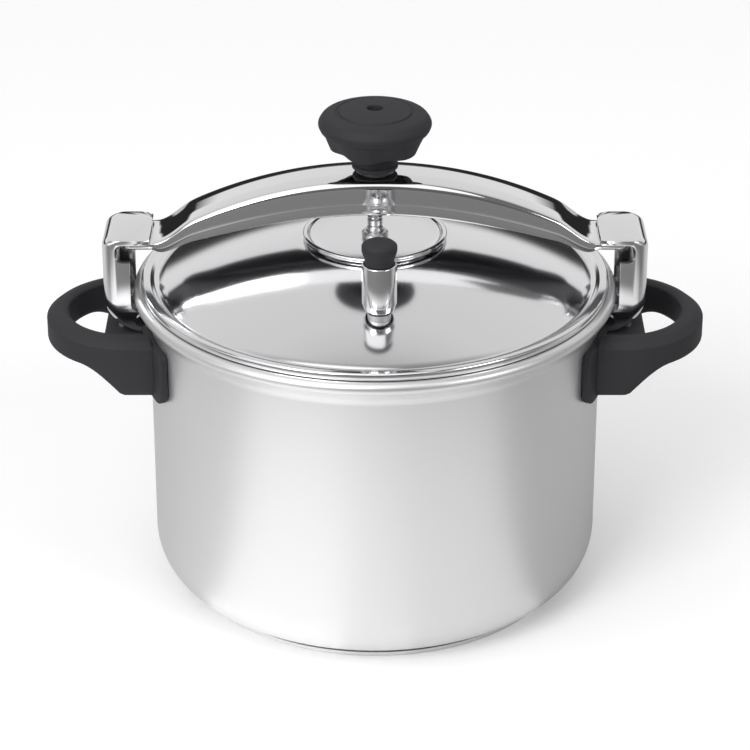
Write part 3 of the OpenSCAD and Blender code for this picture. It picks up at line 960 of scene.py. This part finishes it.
class COOKER_OT_valve(bpy.types.Operator):
    """Turn the operating valve's sleeve and mould its cap"""

    bl_idname = "cooker.valve"
    bl_label = "Operating valve"

    def execute(self, context):
        a, b = low("valve_sleeve"), high("valve_sleeve")
        centre = ((a.x + b.x) / 2, (a.y + b.y) / 2)
        r, z0, z1 = (b.x - a.x) / 2 / MM, a.z / MM, b.z / MM
        sleeve = lathe("valve_sleeve_shell", rounded([
            (7.2, z0, 0.3), (r - 1.2, z0, 0.6), (r - 0.3, z0 + 3.2, 0.5), (r, z0 + 3.6, 0.3), (r, z1, 0.7),
            (2.6, z1, 0.2), (2.6, z1 - 2.2, 0.2), (7.2, z1 - 2.2, 0.8)], 4), centre, steps=NARROW_STEPS)
        finish_piece(sleeve, "valve", "polished_steel", "valve_sleeve")
        z0, z1 = low("valve_cap").z / MM, high("valve_cap").z / MM
        r = (high("valve_cap").x - low("valve_cap").x) / 2 / MM
        cap = lathe("valve_cap_moulding", rounded([
            (0, z0 + 5, 0), (2.9, z0 + 5, 0), (2.9, z0, 0.2), (r - 1.6, z0, 0.5), (r - 1.5, z0 + 2.4, 1),
            (r, z0 + 7, 2), (r, z1 - 2.6, 1), (r - 1.6, z1 - 1.2, 1.2), (3, z1, 3), (0, z1, 0)], 6),
            centre, closed=False, steps=NARROW_STEPS)
        finish_piece(cap, "valve", "black_phenolic", "valve_cap")
        return {"FINISHED"}


class COOKER_OT_safety_coil(bpy.types.Operator):
    """Wind the safety valve's spring as one fixed coil; the real one shortens as the plunger lifts"""

    bl_idname = "cooker.safety_coil"
    bl_label = "Safety spring"

    def execute(self, context):
        a, b = low("safety_spring"), high("safety_spring")
        height = b.z - a.z
        wire, turns, sides, steps = 0.5 * MM, 5, 8, 24
        coil = (b.x - a.x) / 2 - wire
        angles = [math.tau * i / sides for i in range(sides)]
        ring = [(coil + wire * math.cos(k), 0, wire * math.sin(k)) for k in angles]
        piece = chain("safety_coil", ring, closed=True)
        apply_modifier(piece, "SCREW", angle=math.tau * turns, steps=steps * turns,
                       render_steps=steps * turns, screw_offset=height - 2 * wire, iterations=1,
                       use_merge_vertices=False)
        bpy.ops.object.mode_set(mode="EDIT")
        bpy.ops.mesh.select_all(action="SELECT")
        bpy.ops.mesh.fill_holes(sides=sides)
        tidy_mesh()
        bpy.ops.transform.translate(value=((a.x + b.x) / 2, (a.y + b.y) / 2, a.z + wire))
        finish_piece(piece, "lid", "machined_steel", "safety_spring")
        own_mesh(piece)
        return {"FINISHED"}


# ---------------------------------------------------------------- studio

# Soft boxes: name, place, (width, height) and power in watts.
SOFT_BOXES = (
    ("key_left", (-1.5, -2.4, 2.2), (1.4, 1.4), 45),
    ("fill_right", (2.2, -1.6, 2.0), (1.2, 1.2), 20),
)

# Brightness of the studio round the cooker: (degrees to the right of the camera, brightness).
SIDES = ((-180, 0.9), (-120, 0.8), (-84, 0.7), (-70, 1.6), (-30, 1.6), (-20, 0.2), (20, 0.15), (30, 0.8),
         (72, 0.8), (82, 0.3), (120, 0.35), (180, 0.9))
# Brightness of its far side: (degrees above the horizon, brightness).
FAR_SIDE = ((-90, 0.9), (-3, 0.9), (0, 0.03), (11, 0.03), (14, 1.15), (24, 1.05), (60, 0.95), (90, 0.6))
# Cards on the floor that only the steel sees, round the pot and farther out:
# (degrees to the right of the camera, brightness).
NEAR_CARDS = ((-180, 0.8), (-120, 0.62), (-60, 0.72), (-54, 1.2), (-11, 1.2), (-8, 1.0), (9, 1.0), (12, 0.88),
              (54, 0.85), (58, 0.45), (120, 0.55), (180, 0.8))
FAR_CARDS = ((-180, 0.8), (-100, 0.7), (-70, 0.22), (70, 0.16), (100, 0.6), (180, 0.8))
# Brightness above the near side's light, where the camera stands.
ABOVE = 0.22
# Distances from the pot's axis, in metres, between which the near cards give way to the far ones.
CARD_EDGE = (0.44, 0.56)
# Elevations, in degrees, between which the near side's light gives way to what is above it.
NEAR_TOP = (20, 32)
# Part of a direction that points away from the camera, over which the far side's light takes over.
FAR_EDGE = (0.05, 0.35)
# Size of the floor, in metres, and the sun's angle and turn about X and Y, in degrees.
FLOOR_SIZE = 24
SUN_ANGLE = 70
SUN_TURN = (24, -16)


class COOKER_OT_studio(bpy.types.Operator):
    """Set the floor, the camera and the soft lights"""

    bl_idname = "cooker.studio"
    bl_label = "Studio"

    def execute(self, context):
        values = studio()
        bpy.ops.mesh.primitive_plane_add(size=FLOOR_SIZE, location=(0, 0, 0))
        floor = context.object
        floor.name = "studio_floor"
        material, tree, shader, position = blank("studio_floor")
        shader.inputs["Roughness"].default_value = 0.9
        shader.inputs["Specular IOR Level"].default_value = 0.1
        tint = shades(tree, noise(tree, position, 1.5), scaled(finishes().floor, 0.995), finishes().floor)
        parts = add(tree, "ShaderNodeSeparateXYZ")
        tree.links.new(position, parts.inputs[0])
        side = bearing(tree, parts)
        seen = add(tree, "ShaderNodeLightPath").outputs["Is Camera Ray"]
        radius = add(tree, "ShaderNodeVectorMath", operation="LENGTH")
        tree.links.new(position, radius.inputs[0])
        outside = span(tree, radius.outputs["Value"], 0, 1, *CARD_EDGE)
        grey = mix(tree, outside, brightness(tree, side, NEAR_CARDS, -180, 180),
                   brightness(tree, side, FAR_CARDS, -180, 180))
        tree.links.new(mix(tree, seen, grey, tint), shader.inputs["Base Color"])
        shader.inputs["Emission Color"].default_value = (1, 1, 1, 1)
        glow = math_node(tree, "MULTIPLY", seen, values.floor_glow)
        tree.links.new(glow, shader.inputs["Emission Strength"])
        floor.data.materials.append(material)

        camera_data = bpy.data.cameras.new("camera")
        camera_data.lens = values.lens
        camera = bpy.data.objects.new("camera", camera_data)
        rise = values.elevation
        aim = Vector((0, 0, values.target))
        camera.location = aim + values.distance * Vector((0, -math.cos(rise), math.sin(rise)))
        camera.rotation_euler = (math.pi / 2 - rise, 0, 0)
        context.scene.collection.objects.link(camera)
        context.scene.camera = camera

        studio_world(context.scene)
        sun = bpy.data.lights.new("overcast", "SUN")
        sun.energy, sun.angle = values.overcast, math.radians(SUN_ANGLE)
        item = bpy.data.objects.new("overcast", sun)
        item.rotation_euler = (*map(math.radians, SUN_TURN), 0)
        context.scene.collection.objects.link(item)
        for name, place, size, energy in SOFT_BOXES:
            lamp = bpy.data.lights.new(name, "AREA")
            lamp.shape = "RECTANGLE"
            lamp.size, lamp.size_y = size
            lamp.energy = energy
            item = bpy.data.objects.new(name, lamp)
            item.location = place
            item.rotation_euler = (aim - Vector(place)).to_track_quat("-Z", "Y").to_euler()
            context.scene.collection.objects.link(item)
        context.scene.view_settings.view_transform = "Standard"
        return {"FINISHED"}


def bearing(tree, parts):
    """Angle of a separated direction, in radians: nought towards the camera, more to its right."""
    towards = math_node(tree, "MULTIPLY", parts.outputs[1], -1.0)
    return math_node(tree, "ARCTAN2", parts.outputs[0], towards)


def brightness(tree, angle, stops, lowest, highest):
    """A grey that follows (angle, brightness) stops, for an angle in radians."""
    item = add(tree, "ShaderNodeValToRGB")
    place = span(tree, angle, 0, 1, math.radians(lowest), math.radians(highest))
    tree.links.new(place, item.inputs["Fac"])
    ramp = item.color_ramp.elements
    while len(ramp) < len(stops):
        ramp.new(1.0)
    for element, (degrees, value) in zip(ramp, stops):
        element.position = (degrees - lowest) / (highest - lowest)
        element.color = (value, value, value, 1)
    return item.outputs["Color"]


def studio_world(scene):
    """Surroundings that the steel reflects; the camera itself sees an even pale backdrop."""
    world = bpy.data.worlds.new("studio")
    scene.world = world
    world.use_nodes = True
    tree = world.node_tree
    sky = tree.nodes["Background"]
    parts = add(tree, "ShaderNodeSeparateXYZ")
    tree.links.new(add(tree, "ShaderNodeTexCoord").outputs["Generated"], parts.inputs[0])
    side = bearing(tree, parts)
    rise = math_node(tree, "ARCSINE", parts.outputs[2])
    sides = brightness(tree, side, SIDES, -180, 180)
    far = brightness(tree, rise, FAR_SIDE, -90, 90)
    near = mix(tree, span(tree, rise, 0, 1, *map(math.radians, NEAR_TOP)), sides,
               (ABOVE, ABOVE, ABOVE, 1))
    around = mix(tree, span(tree, parts.outputs[1], 0, 1, *FAR_EDGE), near, far)
    seen = add(tree, "ShaderNodeLightPath").outputs["Is Camera Ray"]
    tree.links.new(mix(tree, seen, around, (1, 1, 1, 1)), sky.inputs["Color"])
    sky.inputs["Strength"].default_value = studio().daylight


PIECES = (COOKER_OT_dress_frame, COOKER_OT_pot, COOKER_OT_lid, COOKER_OT_pressure_dish, COOKER_OT_bridge,
          COOKER_OT_hooks, COOKER_OT_handles, COOKER_OT_saddles, COOKER_OT_knob, COOKER_OT_valve,
          COOKER_OT_safety_coil, COOKER_OT_studio)


class COOKER_PT_panel(bpy.types.Panel):
    """Lists the cooker's settings and pieces"""

    bl_label = "Pressure Cooker"
    bl_idname = "COOKER_PT_panel"
    bl_space_type = "VIEW_3D"
    bl_region_type = "UI"
    bl_category = "Cooker"

    def draw(self, context):
        for group in (sizes(), finishes(), studio()):
            box = self.layout.box()
            for name in group.bl_rna.properties.keys():
                if name not in ("rna_type", "name"):
                    box.prop(group, name)
        for piece in PIECES:
            self.layout.operator(piece.bl_idname)


GROUPS = (("cooker_sizes", CookerSizes), ("cooker_finishes", CookerFinishes), ("cooker_studio", CookerStudio))


def register():
    for name, group in GROUPS:
        bpy.utils.register_class(group)
        setattr(bpy.types.Scene, name, PointerProperty(type=group))
    for item in (*PIECES, COOKER_PT_panel):
        bpy.utils.register_class(item)


def unregister():
    for item in reversed((*PIECES, COOKER_PT_panel)):
        bpy.utils.unregister_class(item)
    for name, group in reversed(GROUPS):
        delattr(bpy.types.Scene, name)
        bpy.utils.unregister_class(group)


def main():
    register()
    for piece in PIECES:
        area, name = piece.bl_idname.split(".")
        getattr(getattr(bpy.ops, area), name)()
        leave_edit_mode()


if __name__ == "__main__":
    main()
